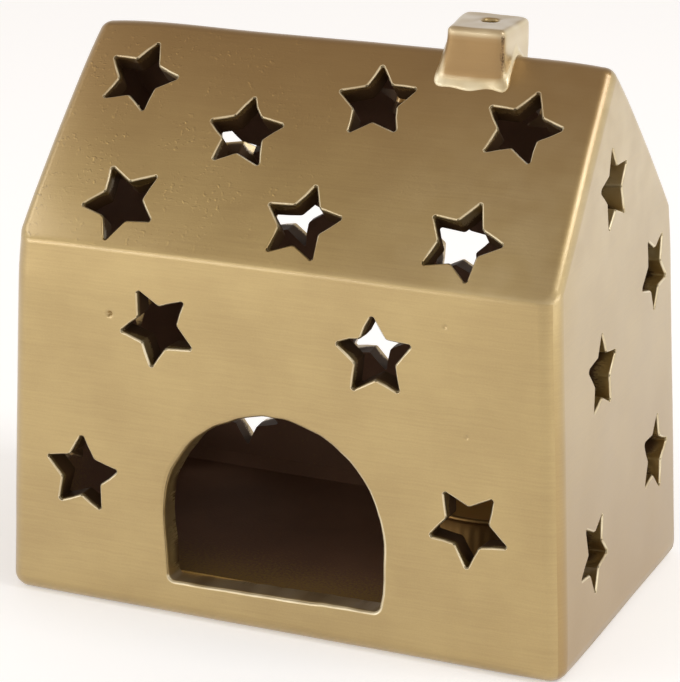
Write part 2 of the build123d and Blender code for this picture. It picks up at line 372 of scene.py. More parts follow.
def slab_paint(name, corners, normals, faces):
    """Where each corner of a slab is, and how the paint lies there.

    The place is in millimetres: across and up the outer face, and the depth to the brush. The
    second result goes from 0 to 1: pale paint on the rims with painted highlight, grit, and thin
    paint with painted shade. The third result is whether a triangle is left bare, as the inside
    and the underside are.
    """
    normal, reach = faces[name]
    across, up = slab_axes(normal)
    others = [face for other, face in faces.items() if other != name]
    facing = facings(corners)
    lean = facing @ normal
    below = reach - corners @ normal
    foot = corners[..., 2].max(axis=1) < 0.05 * MM
    bare = (lean < -0.3) | ((facing[:, 2] < -0.9) & foot)

    middles = corners.mean(axis=1)
    doorway = (np.abs(middles[:, 0]) < DOORWAY[0]) & (middles[:, 2] < DOORWAY[1])
    doorway &= name == "front_wall"
    upward = facing[:, 2] > 0.5
    share = np.where(upward, SILL_DEPTH, JAMB_DEPTH)
    gable = name.endswith("gable")
    share = np.where(doorway, share, GABLE_STAR_DEPTH if gable else STAR_DEPTH)
    depth = np.where((lean > 0.3)[:, None], 0, np.clip(below, 0, None) * share[:, None])
    place = np.stack((corners @ across, corners @ up, depth), axis=-1) / MM

    # Paint lies in a pale ridge along the openings' rims, with painted highlight making rims paler
    # where they look up or to the left; on the doorway the rim is pale only there
    lit = np.maximum(
        smooth_step(-normals @ across, 0.05, 0.4), smooth_step(normals @ up, 0.02, 0.35)
    )
    ridge_and_highlight = 1 - smooth_step(below, *RIDGE_FADE)
    ridge_and_highlight *= np.where(doorway[:, None], DOORWAY_HIGHLIGHT * lit, STAR_RIDGE_AND_HIGHLIGHT + STAR_HIGHLIGHT * lit)
    ridge_and_highlight *= far_from_edges(corners, others, 4 * MM)
    ridge_and_highlight *= ((lean < 0.985) & (lean > 0.02))[:, None]
    height = corners[..., 2] / MM
    if name.startswith("roof"):
        # Thrown grit shows most on the left of the roof. The roof is painted darker towards its
        # top, painted shade, and paler towards its right, painted highlight
        left, right = -corners[..., 0], corners[..., 0]
        gritty = ROOF_GRIT + (1 - ROOF_GRIT) * smooth_step(left, -15 * MM, 25 * MM)
        thin = ROOF_SHADE * smooth_step(height, *ROOF_SHADE_HEIGHTS)
        ridge_and_highlight = np.maximum(ridge_and_highlight, ROOF_HIGHLIGHT * smooth_step(right, 0, 45 * MM) * (1 - thin))
    else:
        # The gables are painted darker towards the foot, painted shade, and paler towards the top,
        # painted highlight
        gritty = np.full(height.shape, WALL_GRIT)
        thin = gable * GABLE_SHADE * (1 - smooth_step(height, *GABLE_SHADE_HEIGHTS))
        pale_and_highlight = gable * GABLE_HIGHLIGHT * smooth_step(height, *GABLE_HIGHLIGHT_HEIGHTS)
        # Paint ran down onto the sill and dried there, dull
        reveal = doorway & (lean < 0.3)
        pale_and_highlight = np.where(reveal[:, None], JAMB_PALE, pale_and_highlight)
        pale_and_highlight = np.where((reveal & upward)[:, None], SILL_PALE, pale_and_highlight)
        thin = np.where((reveal & upward)[:, None], SILL_THIN, thin)
        ridge_and_highlight = np.maximum(ridge_and_highlight, pale_and_highlight)
    return place, np.stack((ridge_and_highlight, gritty, thin), axis=-1), bare


def build_slab(name, faces, settings, materials):
    """A slab of the house: its CAD form, refined and moved by the hands' waves."""
    corners, normals = node_triangles(name)
    normal, reach = faces[name]
    others = [face for other, face in faces.items() if other != name]
    pits = (PINHOLE, *NICKS) if name == "front_wall" else ()
    across, _ = slab_axes(normal)
    outline_waves = wave_bundle(sum(map(ord, name)), *OUTLINE_WAVES, settings.outline_wave)
    pit_middles = [
        across * x * MM + normal * (reach - height * MM * normal[2]) + (0, 0, height * MM)
        for x, height, _, _ in pits
    ]

    def longest(middles):
        edge = np.full(middles.shape[:-1], settings.mesh_step)
        for middle in pit_middles:
            away = np.linalg.norm(middles - middle, axis=-1)
            edge = np.minimum(edge, 0.12 * MM + 0.3 * away)
        return edge

    def shift(points):
        inland = smooth_step(points[..., 2], 3 * MM, 7 * MM)
        for other_normal, other_reach in others:
            inland = inland * smooth_step(other_reach - points @ other_normal, 4 * MM, 8 * MM)
        sideways = bundle_shift(points, outline_waves)
        sideways -= (sideways @ normal)[..., None] * normal
        whole = shape_shift(points, faces, settings) + inland[..., None] * sideways
        return whole + pit_shift(points, normal, reach, pits) if pits else whole

    normals = rounded_rims(corners, normals, normal, reach)
    corners, normals = refine(corners, normals, longest)
    place, marks_and_light, bare = slab_paint(name, corners, normals, faces)
    corners, normals = carry(corners, normals, shift)
    return make_piece(
        name + "_clay", corners, materials, "house", name,
        normals=normals, slots=bare, vectors={"slab_place": place, "slab_marks_and_light": marks_and_light},
    )


def build_base(faces, settings, materials):
    """The floor slab with its coil: its CAD form, moved with the walls that stand on it."""
    corners, normals = node_triangles("base_slab")
    corners, normals = refine(corners, normals, lambda middles: settings.mesh_step)
    corners, normals = carry(
        corners, normals, lambda points: shape_shift(points, faces, settings)
    )
    return make_piece(
        "base_slab_clay", corners, materials, "house", "base_slab", normals=normals,
    )


# Chimney, in millimetres: half width and half depth at its foot and its top, and the places of
# their middles
CHIMNEY_FOOT = (6.35, 6.3, 25.55, 0.5)
CHIMNEY_TOP = (5.85, 6.6, 26.05, 0.6)
CHIMNEY_CROWN = 108.9
CHIMNEY_RIM = 1.0
CHIMNEY_FLARE = 1.8
CHIMNEY_WAVE = 0.14 * MM
# How much further out its left side stands at the back of the top
CHIMNEY_SKEW = 1.2
# Bead of slip: lift over the roof and swell of the outline
BEAD = (
    (-0.9, 0.25), (0.0, 0.45), (0.25, 0.5), (0.55, 0.4), (0.9, 0.2), (1.3, 0.08), (1.9, 0.02),
)
# Where a blob of the bead sits and how wide it is, as angles
BLOB_ANGLE, BLOB_WIDTH = radians(316), 0.14
# Flue: the place of its middle, its radius, and its lip's drop from the crown and gap to the bore
FLUE = (26.2, 2.0, 1.55)
FLUE_LIP = ((0.12, 0.10), (0.22, 0.04), (0.42, 0.01), (0.72, 0))


def roof_height(points, faces):
    """Height of the roof over a place: the lower of its two planes, rounded where they meet."""
    planes = [
        (reach - points[..., 0] * normal[0] - points[..., 1] * normal[1]) / normal[2]
        for normal, reach in (faces["roof_front"], faces["roof_back"])
    ]
    blend = 0.8 * MM
    lower = np.log(sum(np.exp(-(plane - planes[0]) / blend) for plane in planes))
    return planes[0] - blend * lower


def chimney_paint(corners, faces):
    """Where each corner of the chimney is, and how the paint lies there, as on a slab."""
    x, y, z = np.moveaxis(corners, -1, 0) / MM
    lift = (corners[..., 2] - roof_height(corners, faces)) / MM
    drop = CHIMNEY_CROWN - z
    around = np.hypot(x - FLUE[0], y - FLUE[1])
    front = smooth_step(-y, 5, 5.6)
    right = smooth_step(x, 31, 31.8) * (1 - front)
    crown = 1 - smooth_step(drop, 0.05, 0.5)
    bead = 1 - smooth_step(lift, 0.7, 1.8)
    # A dark line of painted shade along the front's right edge, drawn as cut clay, and the dark of
    # the flue
    painted_shade_line = front * smooth_step(x, 31.0, 31.35) * (1 - smooth_step(x, 31.6, 31.85))
    painted_shade_line = 1.2 * painted_shade_line * smooth_step(lift, 1.0, 2.2) * smooth_step(drop, 0.6, 1.6)
    depth = np.where(around < 1.8, np.clip(drop, 0, None), painted_shade_line)
    # Pale paint on the bead, partly a real ridge of slip and paint and partly painted highlight,
    # and painted highlight on the left edge, round the top, over the crown and on the right side
    edges = smooth_step(-x, -20.8, -20.2) + smooth_step(-drop, -2.2, -1.2) * (1 - crown)
    ridge_and_highlight = np.clip(0.75 * bead + 0.5 * front * edges + 0.7 * right + 0.25 * crown, 0, 1)
    # The front is painted darker away from the bead, painted shade, and the crown darker round the
    # flue's mouth
    thin = 0.75 * front * (1 - bead) + crown * (1 - smooth_step(around, 2.2, 3.2))
    marks_and_light = (ridge_and_highlight, np.full(ridge_and_highlight.shape, WALL_GRIT), np.clip(thin, 0, 1))
    return np.stack((x, z, depth), axis=-1), np.stack(marks_and_light, axis=-1)


def build_chimney(faces, settings, materials):
    """Rings from the foot up the outside, over the rim and down the flue, closed under the roof.

    A ring is a rounded rectangle: at an angle its radius is the minus nth root of the sum of the
    cosine over the half width and the sine over the half depth, both to the nth power, and n
    falls from 11 to 2, a circle, towards the flue. Rings near the foot follow the roof's height,
    and rings at the top are level.
    """
    angle = np.linspace(0, 2 * pi, 144, endpoint=False)
    turn = np.radians(np.linspace(0, 90, 9))[1:]
    # Each ring: swell of the outline, lift over the roof, share of the way to the rim, drop
    # from the crown, share of the way to the flue
    rows = [(swell, lift, 0, None, 0) for lift, swell in BEAD]
    rows += [(0, BEAD[-1][0], share, None, 0) for share in np.linspace(0, 1, 12)[1:]]
    rows += [(-CHIMNEY_RIM * (1 - cos(t)), 0, 1, CHIMNEY_RIM * (1 - sin(t)), 0) for t in turn]
    rows += [(-CHIMNEY_RIM, 0, 1, 0.10 * share, share) for share in np.linspace(0, 0.8, 6)[1:]]
    rows += [(-CHIMNEY_RIM, 0, 1, drop, 1 - gap) for drop, gap in FLUE_LIP]
    rows += [(-CHIMNEY_RIM, lift, 0, None, 1) for lift in (1.1, BEAD[0][0])]
    wobble = 1 + 0.35 * np.sin(3 * angle + 1.0) + 0.3 * np.sin(7 * angle)
    blob = 0.9 * np.exp(-(((angle - BLOB_ANGLE) / BLOB_WIDTH) ** 2))
    rings = []
    for swell, lift, share, drop, inward in rows:
        top = 1 if drop is not None else 1 - (1 - share) ** CHIMNEY_FLARE
        half_x, half_y, mid_x, mid_y = (
            low + (high - low) * top for low, high in zip(CHIMNEY_FOOT, CHIMNEY_TOP)
        )
        grow = swell * (wobble + blob) if swell > 0 else np.full(angle.shape, swell)
        wide, deep = (
            half + grow + (FLUE[2] - half - grow) * inward for half in (half_x, half_y)
        )
        mid_x, mid_y = mid_x + (FLUE[0] - mid_x) * inward, mid_y + (FLUE[1] - mid_y) * inward
        power = 11 - 9 * inward
        radius = np.abs(np.cos(angle) / wide) ** power + np.abs(np.sin(angle) / deep) ** power
        radius = radius ** (-1 / power)
        left = np.clip(-np.cos(angle), 0, 1) ** 0.5 * np.sin(angle) * top * (1 - inward)
        x = mid_x + radius * np.cos(angle) - CHIMNEY_SKEW * left
        y = mid_y + radius * np.sin(angle)
        ring = np.stack((x, y, 0 * angle), axis=-1) * MM
        if drop is None:
            foot = roof_height(ring, faces) + lift * MM
            rim = (CHIMNEY_CROWN - CHIMNEY_RIM) * MM
            ring[:, 2] = foot + (rim - foot) * share
        else:
            ring[:, 2] = (CHIMNEY_CROWN - drop) * MM
        rings.append(ring)
    grid = np.stack(rings)
    grid += shape_shift(grid, faces, settings)
    grid += bundle_shift(grid, wave_bundle(*CHIMNEY_WAVES, CHIMNEY_WAVE))
    corners = np.minimum(grid_triangles(grid, close_rows=True), cad_box[1][2])
    place, marks_and_light = chimney_paint(corners, faces)
    return make_piece(
        "chimney_clay", corners, materials, "house", "chimney",
        crease=radians(60), vectors={"slab_place": place, "slab_marks_and_light": marks_and_light},
    )


# Tealight, in millimetres: the cup's radii at its foot, its side and its rim, the wax's edge as
# radius and height, and the wick from its foot to its top

CUP_RADII = (17.25, 18.05, 18.55)
CUP_HEIGHT = 13.6
CUP_BEAD = 0.45
CUP_SHEET = 0.35
FLUTES, FLUTE_DEPTH = 60, 0.04
WAX_EDGE = (18.07, 11.6)
WAX_DISH = 0.7
WAX_BORE = 0.77
WAX_CREEP = 0.35
WICK_RADIUS = 0.75
WICK_SPAN = (0.37, 15.05)


def revolve(profile, middle, ripple=None, count=144, close=False):
    """A profile of radius and height turned about an upright axis through the middle."""
    angle = np.linspace(0, 2 * pi, count, endpoint=False)
    radius = profile[:, :1] + (0 if ripple is None else ripple(profile, angle))
    around = np.stack((radius * np.cos(angle), radius * np.sin(angle)), axis=-1)
    height = np.broadcast_to(profile[:, 1:, None], (len(profile), count, 1))
    grid = np.concatenate((around, height), axis=-1) * MM + middle
    return grid_triangles(grid, close_rows=close)


def foil_cup(middle, material):
    """Outside of the cup up to a rolled bead, which is an arc, and its inside down again.

    The drawn side has shallow flutes: the radius swells by a sine of their number times the angle.
    """
    low, side, rim = CUP_RADII
    turn = np.radians(np.linspace(-75, 215, 16))
    bead = np.stack((rim + CUP_BEAD * np.cos(turn), CUP_HEIGHT - CUP_BEAD * (1 - np.sin(turn))), 1)
    rise = np.linspace(1.6, CUP_HEIGHT - 1.4, 8)
    wall = np.stack((side + (rim - side) * rise / CUP_HEIGHT, rise), axis=1)
    foot = np.array(((0, 0.25), (6, 0.25), (6.6, 0), (low, 0), (low + 0.55, 0.2), (side, 0.8)))
    inner = wall[::-1] - (CUP_SHEET, 0)
    floor = np.array(
        ((side - CUP_SHEET, 0.95), (low + 0.1, CUP_SHEET + 0.05), (low - 0.6, CUP_SHEET),
         (0, CUP_SHEET))
    )
    profile = np.concatenate((foot, wall, bead, inner, floor))

    def ripple(profile, angle):
        height = profile[:, 1]
        share = smooth_step(height, 1.0, 2.5) * (1 - smooth_step(height, 11, 12.4))
        return FLUTE_DEPTH * share[:, None] * np.sin(FLUTES * angle)

    corners = revolve(profile, middle, ripple, count=480)
    return make_piece(
        "tealight_cup_foil", corners, [material], "tealight", "tealight_cup",
        crease=radians(50),
    )


def poured_wax(middle, material):
    """Wax turned about the wick: its top is a cubic dish that creeps up the wick as it set."""
    radius, height = WAX_EDGE
    run = np.linspace(1, 0, 40)
    across = WAX_BORE + (radius - WAX_BORE) * run
    creep = WAX_CREEP * np.exp(-(across - WAX_BORE) / 0.6) * (run < 1)
    dish = height - WAX_DISH * (1 - run**3) + creep
    top = np.stack((across, dish), axis=1)
    outside = np.array(((6.3, 0.4), (16.85, 0.4), (17.65, 1.2)))
    inside = np.array(((WAX_BORE, 3.92), (1.35, 3.92), (1.35, 0.72), (6.3, 0.72)))
    corners = revolve(np.concatenate((outside, top, inside)), middle, close=True)
    return make_piece(
        "tealight_wax_poured", corners, [material], "tealight", "tealight_wax",
        crease=radians(40),
    )


def twisted_wick(middle, material):
    """A cord of three strands: the radius dips between them by a cosine of three times the
    angle, which turns once in 2.4 mm of height, and rounds off at both ends. It leans a little
    where it stands free of the wax."""
    low, high = WICK_SPAN
    height = np.linspace(low, high, 150)
    ends = np.minimum(height - low, high - height) / 0.4
    rounding = np.sqrt(np.clip(1 - (1 - np.clip(ends, 0, 1)) ** 2, 0, 1))
    angle = np.linspace(0, 2 * pi, 48, endpoint=False)
    strands = np.abs(np.cos(1.5 * (angle - 2 * pi * height[:, None] / 2.4)))
    radius = WICK_RADIUS * rounding[:, None] * (0.86 + 0.14 * strands)
    lean = 0.5 * smooth_step(height, 11.2, high)[:, None]
    grid = np.stack(
        (radius * np.cos(angle) + lean, radius * np.sin(angle) - 0.4 * lean,
         np.broadcast_to(height[:, None], radius.shape)), axis=-1,
    )
    corners = grid_triangles(grid * MM + middle)
    return make_piece(
        "wick_cotton", corners, [material], "tealight", "wick", crease=radians(70),
    )


# Materials


def add_node(tree, kind, inputs=(), **settings):
    """Add a shader node with its settings, and give each input named its value or its link.

    A node given as a value stands for its first output.
    """
    node = tree.nodes.new(kind)
    for name, value in settings.items():
        setattr(node, name, value)
    for name, value in dict(inputs).items():
        if isinstance(value, bpy.types.Node):
            value = value.outputs[0]
        if isinstance(value, bpy.types.NodeSocket):
            tree.links.new(value, node.inputs[name])
        else:
            node.inputs[name].default_value = value
    return node


def new_material(name):
    """An empty node material and its tree."""
    material = bpy.data.materials.new(name)
    material.use_nodes = True
    tree = material.node_tree
    tree.nodes.clear()
    return material, tree


def brushed_gold_paint(settings):
    """Metallic craft paint brushed over fired clay: satin, with fine brush lines and grain."""
    material, tree = new_material("gold_paint_brushed_on_fired_clay")
    place = add_node(tree, "ShaderNodeAttribute", attribute_name="slab_place").outputs["Vector"]
    marks_and_light = add_node(tree, "ShaderNodeAttribute", attribute_name="slab_marks_and_light").outputs["Vector"]
    parts = add_node(tree, "ShaderNodeSeparateXYZ", {"Vector": place})
    mark = add_node(tree, "ShaderNodeSeparateXYZ", {"Vector": marks_and_light})
    # Brush hairs leave lines about 0.4 mm wide and 15 mm long
    stretched = add_node(
        tree, "ShaderNodeVectorMath", {0: place, 1: (1 / 15, 1 / 0.4, 1 / 0.4)},
        operation="MULTIPLY",
    )
    lines = add_node(
        tree, "ShaderNodeTexNoise",
        {"Vector": stretched, "Scale": 1.0, "Detail": 3.0, "Roughness": 0.6},
    )
    # Metal flakes and dust under the paint, 0.35 mm grains
    grain = add_node(
        tree, "ShaderNodeTexNoise",
        {"Vector": place, "Scale": 1 / 0.35, "Detail": 2.0, "Roughness": 0.6},
    )
    # Grit of about 0.6 mm that was thrown on the roof or stuck to a wet brush
    grit = add_node(tree, "ShaderNodeTexNoise", {"Vector": place, "Scale": 1 / 0.9, "Detail": 1.0})
    grit_bump = add_node(
        tree, "ShaderNodeMapRange", {"Value": grit, "From Min": 0.56, "From Max": 0.74},
        interpolation_type="SMOOTHSTEP",
    )
    # Patches where the coat is thicker, about 18 mm across
    patches = add_node(
        tree, "ShaderNodeTexNoise",
        {"Vector": place, "Scale": 1 / 18, "Detail": 4.0, "Roughness": 0.55},
    )
    patch_share = add_node(
        tree, "ShaderNodeMapRange",
        {"Value": patches, "From Min": 0.3, "From Max": 0.7, "To Max": 0.5},
        interpolation_type="SMOOTHSTEP",
    )
    speckled = add_node(
        tree, "ShaderNodeMath", {0: grain, 1: 0.6, 2: patch_share}, operation="MULTIPLY_ADD",
    )
    share = add_node(
        tree, "ShaderNodeMath", {0: lines, 1: 1.1, 2: speckled}, operation="MULTIPLY_ADD",
    )
    share = add_node(
        tree, "ShaderNodeMath", {0: share, 1: 0.6}, operation="SUBTRACT", use_clamp=True,
    )
    gold = add_node(
        tree, "ShaderNodeMix",
        {0: share, 6: rgba(settings.gold_deep), 7: rgba(settings.gold_light)},
        data_type="RGBA",
    ).outputs[2]
    # Thin paint lets the red clay warm it, and the same darker gold is painted shade near the
    # roof's top, at the gables' foot and on the chimney's front
    gold = add_node(
        tree, "ShaderNodeMix",
        {0: mark.outputs["Z"], 6: gold, 7: rgba(settings.gold_thin_and_shade)}, data_type="RGBA",
    ).outputs[2]
    # Blots about 6 mm across, where the brush left more paint
    blots = add_node(tree, "ShaderNodeTexNoise", {"Vector": place, "Scale": 1 / 6, "Detail": 1.0})
    blots = add_node(tree, "ShaderNodeMath", {0: blots, 1: 5.0, 2: -1.1}, operation="MULTIPLY_ADD")
    # Paint gathers in a pale ridge on the rims, unevenly, and the same pale gold is painted
    # highlight on lit rims, the roof's right, the gables' top and the chimney
    uneven_rim = add_node(
        tree, "ShaderNodeMapRange",
        {"Value": blots, "From Min": 0.6, "From Max": 2.0, "To Min": 0.55, "To Max": 1.1},
    )
    ridge_and_highlight = add_node(
        tree, "ShaderNodeMath", {0: mark.outputs["X"], 1: uneven_rim},
        operation="MULTIPLY", use_clamp=True,
    )
    gold = add_node(
        tree, "ShaderNodeMix", {0: ridge_and_highlight, 6: gold, 7: rgba(settings.gold_rim_and_highlight)}, data_type="RGBA",
    ).outputs[2]
    # The brush reaches only a little way into the stars and the doorway, further at the blots
    reach = add_node(
        tree, "ShaderNodeMath", {0: grain, 1: -1.6, 2: blots}, operation="MULTIPLY_ADD",
    )
    reach = add_node(tree, "ShaderNodeMath", {0: reach, 1: 0.15}, operation="MAXIMUM")
    end = add_node(tree, "ShaderNodeMath", {0: reach, 1: 0.9}, operation="ADD")
    cover = add_node(
        tree, "ShaderNodeMapRange",
        {"Value": parts.outputs["Z"], "From Min": reach, "From Max": end,
         "To Min": 1.0, "To Max": 0.0},
        interpolation_type="SMOOTHSTEP",
    )
    # The cut faces take the cut clay, darker than the inside's clay: painted shade
    colour = add_node(
        tree, "ShaderNodeMix", {0: cover, 6: rgba(settings.clay_cut_shaded), 7: gold}, data_type="RGBA",
    ).outputs[2]
    bright = add_node(
        tree, "ShaderNodeMath", {0: ridge_and_highlight, 1: -0.5, 2: 0.94}, operation="MULTIPLY_ADD",
    )
    metal = add_node(
        tree, "ShaderNodeMapRange", {"Value": cover, "To Min": 0.45, "To Max": bright},
    )
    uneven = add_node(
        tree, "ShaderNodeMath", {0: lines, 1: 0.14, 2: settings.paint_roughness - 0.07},
        operation="MULTIPLY_ADD",
    )
    rough = add_node(
        tree, "ShaderNodeMapRange", {"Value": cover, "To Min": 0.65, "To Max": uneven},
    )
    relief = add_node(
        tree, "ShaderNodeMath", {0: grain, 1: 0.7, 2: lines}, operation="MULTIPLY_ADD",
    )
    sparse = add_node(
        tree, "ShaderNodeMapRange", {"Value": blots, "From Min": 0.6, "From Max": 2.4},
        interpolation_type="SMOOTHSTEP",
    )
    gritty = add_node(
        tree, "ShaderNodeMath", {0: grit_bump, 1: mark.outputs["Y"]}, operation="MULTIPLY",
    )
    gritty = add_node(tree, "ShaderNodeMath", {0: gritty, 1: sparse}, operation="MULTIPLY")
    relief = add_node(
        tree, "ShaderNodeMath", {0: gritty, 1: 3.2, 2: relief}, operation="MULTIPLY_ADD",
    )
    bump = add_node(
        tree, "ShaderNodeBump", {"Height": relief, "Strength": 0.5, "Distance": 0.03 * MM},
    )
    # The varnish in the paint shines less where it is thin, and where shade is painted
    varnish = add_node(
        tree, "ShaderNodeMath", {0: mark.outputs["Z"], 1: -0.5, 2: 1.0}, operation="MULTIPLY_ADD",
    )
    varnish = add_node(tree, "ShaderNodeMath", {0: varnish, 1: cover}, operation="MULTIPLY")
    surface = add_node(
        tree, "ShaderNodeBsdfPrincipled",
        {"Base Color": colour, "Metallic": metal, "Roughness": rough, "Normal": bump,
         "Coat Weight": varnish, "Coat Roughness": 0.28, "Coat IOR": 1.8},
    )
    add_node(tree, "ShaderNodeOutputMaterial", {"Surface": surface})
    return material


def bare_terracotta(settings):
    """Red earthenware fired without glaze: matt, sandy, dusted with gold near the doorway."""
    material, tree = new_material("terracotta_fired_unglazed")
    place = add_node(tree, "ShaderNodeTexCoord").outputs["Object"]
    parts = add_node(tree, "ShaderNodeSeparateXYZ", {"Vector": place})
    # Sand grains of about 0.5 mm
    grain = add_node(
        tree, "ShaderNodeTexNoise", {"Vector": place, "Scale": 1 / (0.5 * MM), "Detail": 3.0},
    )
    # Firing clouds about 12 mm across
    patches = add_node(
        tree, "ShaderNodeTexNoise", {"Vector": place, "Scale": 1 / (12 * MM), "Detail": 3.0},
    )
    tone = add_node(
        tree, "ShaderNodeMix",
        {0: patches, 6: rgba(settings.clay_colour), 7: rgba(settings.clay_light)},
        data_type="RGBA",
    ).outputs[2]
    # Gold mist thins out from the front wall to 25 mm behind it, in specks
    mist = add_node(
        tree, "ShaderNodeMapRange",
        {"Value": parts.outputs["Y"], "From Min": -33 * MM, "From Max": -8 * MM,
         "To Min": 0.62, "To Max": 0.0},
    )
    specks = add_node(tree, "ShaderNodeMath", {0: grain, 1: mist}, operation="ADD")
    dusted = add_node(
        tree, "ShaderNodeMapRange", {"Value": specks, "From Min": 0.55, "From Max": 1.15},
        interpolation_type="SMOOTHSTEP",
    )
    tone = add_node(
        tree, "ShaderNodeMix", {0: dusted, 6: tone, 7: rgba(settings.gold_deep)}, data_type="RGBA",
    ).outputs[2]
    metal = add_node(tree, "ShaderNodeMath", {0: dusted, 1: 0.7}, operation="MULTIPLY")
    bump = add_node(
        tree, "ShaderNodeBump", {"Height": grain, "Strength": 0.5, "Distance": 0.08 * MM},
    )
    surface = add_node(
        tree, "ShaderNodeBsdfPrincipled",
        {"Base Color": tone, "Metallic": metal, "Roughness": 0.8, "Normal": bump},
    )
    add_node(tree, "ShaderNodeOutputMaterial", {"Surface": surface})
    return material


def grained_material(name, grain, detail, inputs, tones=None, rough=None, relief=None):
    """A material whose tone, roughness and relief follow one noise.

    grain is the real size of its grains along X, Y and Z, tones are the colours at its low and
    high ends, rough is the roughness there, and relief is the strength and height of its bumps.
    """
    material, tree = new_material(name)
    place = add_node(tree, "ShaderNodeTexCoord").outputs["Object"]
    scaled = add_node(
        tree, "ShaderNodeVectorMath", {0: place, 1: [1 / size for size in grain]},
        operation="MULTIPLY",
    )
    noise = add_node(
        tree, "ShaderNodeTexNoise", {"Vector": scaled, "Scale": 1.0, "Detail": detail},
    )
    inputs = dict(inputs)
    if tones:
        inputs["Base Color"] = add_node(
            tree, "ShaderNodeMix", {0: noise, 6: rgba(tones[0]), 7: rgba(tones[1])},
            data_type="RGBA",
        ).outputs[2]
    if rough:
        inputs["Roughness"] = add_node(
            tree, "ShaderNodeMapRange", {"Value": noise, "To Min": rough[0], "To Max": rough[1]},
        )
    if relief:
        inputs["Normal"] = add_node(
            tree, "ShaderNodeBump",
            {"Height": noise, "Strength": relief[0], "Distance": relief[1]},
        )
    surface = add_node(tree, "ShaderNodeBsdfPrincipled", inputs)
    add_node(tree, "ShaderNodeOutputMaterial", {"Surface": surface})
    return material


def lacquered_foil(settings):
    """Aluminium foil, gold lacquered and deep drawn: satin, with upright draw lines."""
    # Draw lines 0.5 mm apart and 9 mm long
    return grained_material(
        "aluminium_foil_lacquered_and_drawn", (0.5 * MM, 0.5 * MM, 9 * MM), 2.0,
        {"Base Color": rgba(settings.foil_colour), "Metallic": 1.0},
        rough=(0.4, 0.58), relief=(0.4, 0.03 * MM),
    )


def poured_beeswax(settings):
    """Beeswax poured and set: honey coloured, glowing softly below its skin, slightly bloomed."""
    # Pale bloom in patches about 5 mm across
    return grained_material(
        "beeswax_poured", (5 * MM,) * 3, 3.0,
        {"Roughness": 0.42, "IOR": 1.44, "Subsurface Weight": 0.5,
         "Subsurface Radius": (1.0, 0.55, 0.2), "Subsurface Scale": 2.5 * MM},
        tones=(settings.wax_colour, settings.wax_bloom), relief=(0.3, 0.1 * MM),
    )


def waxed_cotton(settings):
    """Cotton yarn twisted and dipped in wax: off-white and soft, with fine fibres."""
    # Fibres are drawn at 0.15 mm, coarser than real ones, so that they show
    return grained_material(
        "cotton_twisted_and_waxed", (0.15 * MM,) * 3, 2.0,
        {"Roughness": 0.7, "Sheen Weight": 0.3},
        tones=(settings.cotton_shade, settings.cotton_colour), relief=(0.5, 0.05 * MM),
    )


def tinned_steel(settings):
    """Thin steel sheet, tinned and stamped: dull grey with faint rolling lines."""
    # Rolling lines 0.2 mm apart and 4 mm long
    return grained_material(
        "steel_tinned_and_stamped", (4 * MM, 0.2 * MM, 0.2 * MM), 2.0, {"Metallic": 1.0},
        tones=(settings.tin_shade, settings.tin_colour), rough=(0.3, 0.5),
    )


def length_setting(name, description, default, least=0.0):
    """A length that a user can change, in metres."""
    return bpy.props.FloatProperty(
        name=name, description=description, default=default, min=least, unit="LENGTH",
    )


def colour_setting(name, description, default):
    """A colour that a user can change, given as sRGB hex."""
    return bpy.props.FloatVectorProperty(
        name=name, description=description, default=linear(default), subtype="COLOR", min=0, max=1,
    )


class TealightHouseSettings(bpy.types.PropertyGroup):
    """Sizes and colours of the house that a user would change."""

    hand_wave: length_setting(
        "Hand waviness", "Height of the longest waves left by hand in the clay", 0.2 * MM,
    )
    fullness: length_setting("Fullness", "How far the slabs swell in their middles", 0.28 * MM)
    edge_wear: length_setting("Edge wear", "How far edges were sponged down", 0.5 * MM)
    outline_wave: length_setting(
        "Outline waviness", "How far the outlines of the stars wander", 0.5 * MM,
    )
    mesh_step: length_setting(
        "Mesh step", "Longest edge of the clay triangles", 3.0 * MM, 0.5 * MM,
    )
    gold_light: colour_setting("Light gold", "Paint where it lies thick", "#b89d5f")
    gold_deep: colour_setting("Deep gold", "Paint where it lies thin over the clay", "#a5884b")
    # Also the painted shade near the roof's top, at the gables' foot and on the chimney's front
    gold_thin_and_shade: colour_setting("Thin gold", "Paint so thin that the red clay warms it", "#8f6a36")
    # Also the painted highlight on lit rims, the roof's right, the gables' top and the chimney
    gold_rim_and_highlight: colour_setting("Gold at rims", "Paint gathered on the rims of the stars", "#f0e0b8")
    clay_colour: colour_setting("Terracotta", "Bare clay inside the house", "#684a37")
    # Darker than the inside's clay: painted shade in the cut faces
    clay_cut_shaded: colour_setting(
        "Cut clay", "Dark clay in the cut faces of the stars and the doorway", "#4a3216",
    )
    clay_light: colour_setting("Light terracotta", "Paler patches of the bare clay", "#7f5c44")
    paint_roughness: bpy.props.FloatProperty(
        name="Paint roughness", description="Roughness of the gold paint",
        default=0.42, min=0.05, max=1, subtype="FACTOR",
    )
    foil_colour: colour_setting("Foil", "Gold lacquer on the tealight cup", "#9c7a4a")
    wax_colour: colour_setting("Beeswax", "Wax of the tealight", "#b98436")
    wax_bloom: colour_setting("Wax bloom", "Pale bloom on the wax", "#d3a75c")
    cotton_colour: colour_setting("Cotton", "Wick yarn", "#e9e2cd")
    cotton_shade: colour_setting("Cotton shade", "Wick yarn between its fibres", "#c4b898")
    tin_colour: colour_setting("Tin", "Tinned steel of the wick holder", "#bfc0c2")
    tin_shade: colour_setting("Tin shade", "Rolling lines in the tinned steel", "#a3a4a7")


